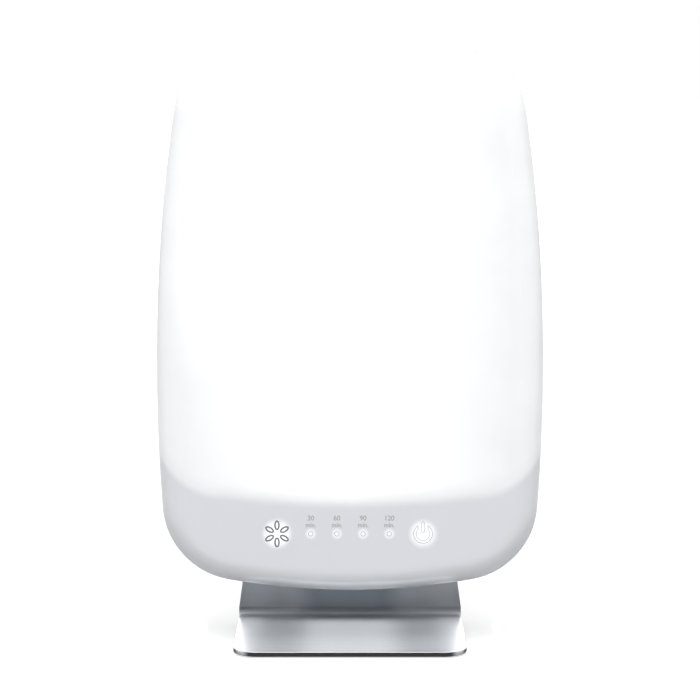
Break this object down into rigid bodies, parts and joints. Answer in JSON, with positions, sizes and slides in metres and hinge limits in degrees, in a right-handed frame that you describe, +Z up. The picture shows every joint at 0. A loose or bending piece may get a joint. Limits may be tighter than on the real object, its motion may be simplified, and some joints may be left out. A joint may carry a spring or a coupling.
{
  "type": "light therapy lamp",
  "caption": "Table-top light therapy lamp: flat rounded light panel with a touch control strip, tilting on friction hinges over a bent steel stand.",
  "frame": {"origin": "on the table, under the middle of the base plate, in the foot mat's lower face", "axes": "+X to the viewer's right, the lit face looks along -Y, +Z up"},
  "size_m": [0.34, 0.1451, 0.5282],
  "materials": {
    "opal_cover": "gloss opal, lit from behind",
    "shell_white": "fine satin",
    "frame_grey": "satin",
    "panel_print": "printed grey ink",
    "stand_steel": "fine brushed across the width",
    "foot_rubber": "matt",
    "hinge_steel": "satin",
    "screw_steel": "zinc plated",
    "pivot_steel": "turned",
    "friction_pad": "matt",
    "spring_steel": "satin",
    "carrier_aluminium": "mill finish",
    "reflector_white": "matt white",
    "diffuser_opal": "opal",
    "led_board_white": "white solder mask",
    "led_phosphor": "silicone",
    "board_green": "green solder mask",
    "chip_black": "moulded epoxy",
    "socket_cream": "moulded nylon",
    "winding_amber": "taped windings",
    "capacitor_sleeve": "shrink sleeve",
    "choke_copper": "enamelled wire",
    "heatsink_black": "black anodised",
    "fuse_glass": "glass tube",
    "inlet_black": "moulded",
    "contact_metal": "nickel plated",
    "lead_insulation": "soft sleeve",
    "ribbon_grey": "flat cable",
    "touch_foam": "conductive foam"
  },
  "bodies": {
    "stand": {"stand_plate": "stand_steel", "foot_mat": "foot_rubber", "stand_hinge_brackets": "hinge_steel", "stand_bracket_screws": "screw_steel", "hinge_pins": "pivot_steel", "hinge_nuts": "pivot_steel", "friction_washers": "friction_pad", "spring_washers": "spring_steel"},
    "head": {"board_sockets": "socket_cream", "carrier_plate": "carrier_aluminium", "chassis": "frame_grey", "clinch_nuts": "screw_steel", "control_board": "board_green", "control_board_screws": "screw_steel", "control_chip": "chip_black", "control_leds": "led_phosphor", "control_ribbon": "ribbon_grey", "cover_screws": "screw_steel", "diffuser_sheet": "diffuser_opal", "driver_board": "board_green", "driver_board_screws": "screw_steel", "driver_capacitors": "capacitor_sleeve", "driver_choke": "choke_copper", "driver_fuse": "fuse_glass", "driver_heatsink": "heatsink_black", "driver_transformer": "winding_amber", "front_cover": "opal_cover", "head_bracket_screws": "screw_steel", "head_hinge_brackets": "hinge_steel", "icon_well_block": "reflector_white", "inlet_pins": "contact_metal", "led_board_screws": "screw_steel", "led_boards": "led_board_white", "led_chips": "led_phosphor", "led_feed_connector": "socket_cream", "led_feed_wires": "lead_insulation", "led_jumpers": "lead_insulation", "light_box": "reflector_white", "mains_inlet": "inlet_black", "mains_wires": "lead_insulation", "panel_icons": "panel_print", "rear_cover": "shell_white", "touch_rings": "touch_foam"}
  },
  "joints": [
    {"name": "head_tilt", "type": "hinge", "parent": "stand", "child": "head", "pos_m": [0, 0.047, 0.21932], "axis": [-1, 0, 0], "range_deg": [-9, 11]}
  ]
}
